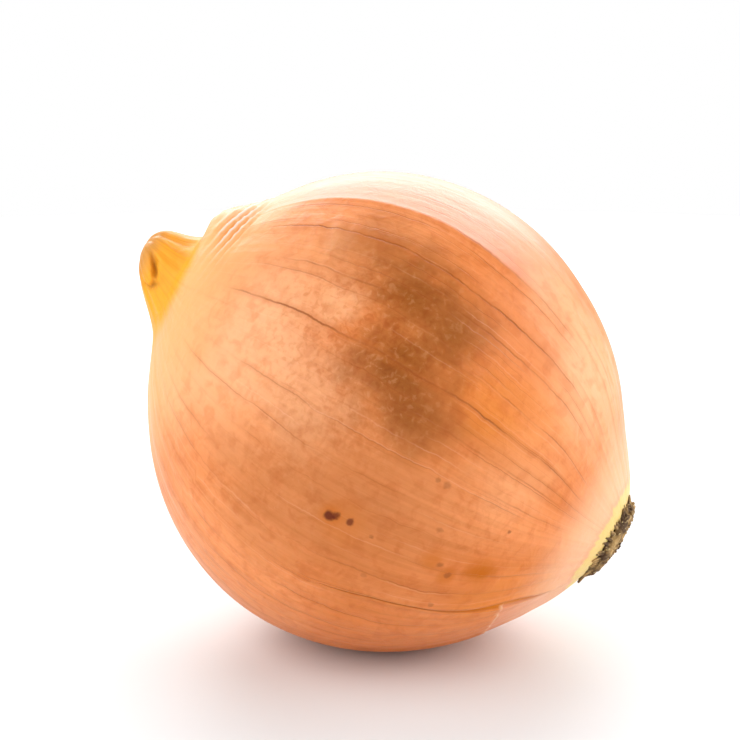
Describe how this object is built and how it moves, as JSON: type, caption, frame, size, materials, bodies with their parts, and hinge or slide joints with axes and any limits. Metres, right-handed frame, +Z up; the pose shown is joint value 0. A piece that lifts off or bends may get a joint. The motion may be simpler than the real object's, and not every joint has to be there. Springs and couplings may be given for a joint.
{
  "type": "onion",
  "caption": "Round yellow onion with papery skin, a short dried neck and a trimmed root tuft, lying on its side.",
  "frame": {"origin": "centre of the small flat spot on the bulb's side that it rests on", "axes": "+Z up from the surface it lies on; the neck points up and towards -X, the root tuft down and towards +X, and the near side faces -Y"},
  "size_m": [0.0841, 0.0796, 0.0788],
  "materials": {
    "onion_skin": "satin",
    "dried_root": "matte"
  },
  "bodies": {
    "root": {"bulb": "onion_skin", "root_tuft": "dried_root"}
  },
  "joints": []
}
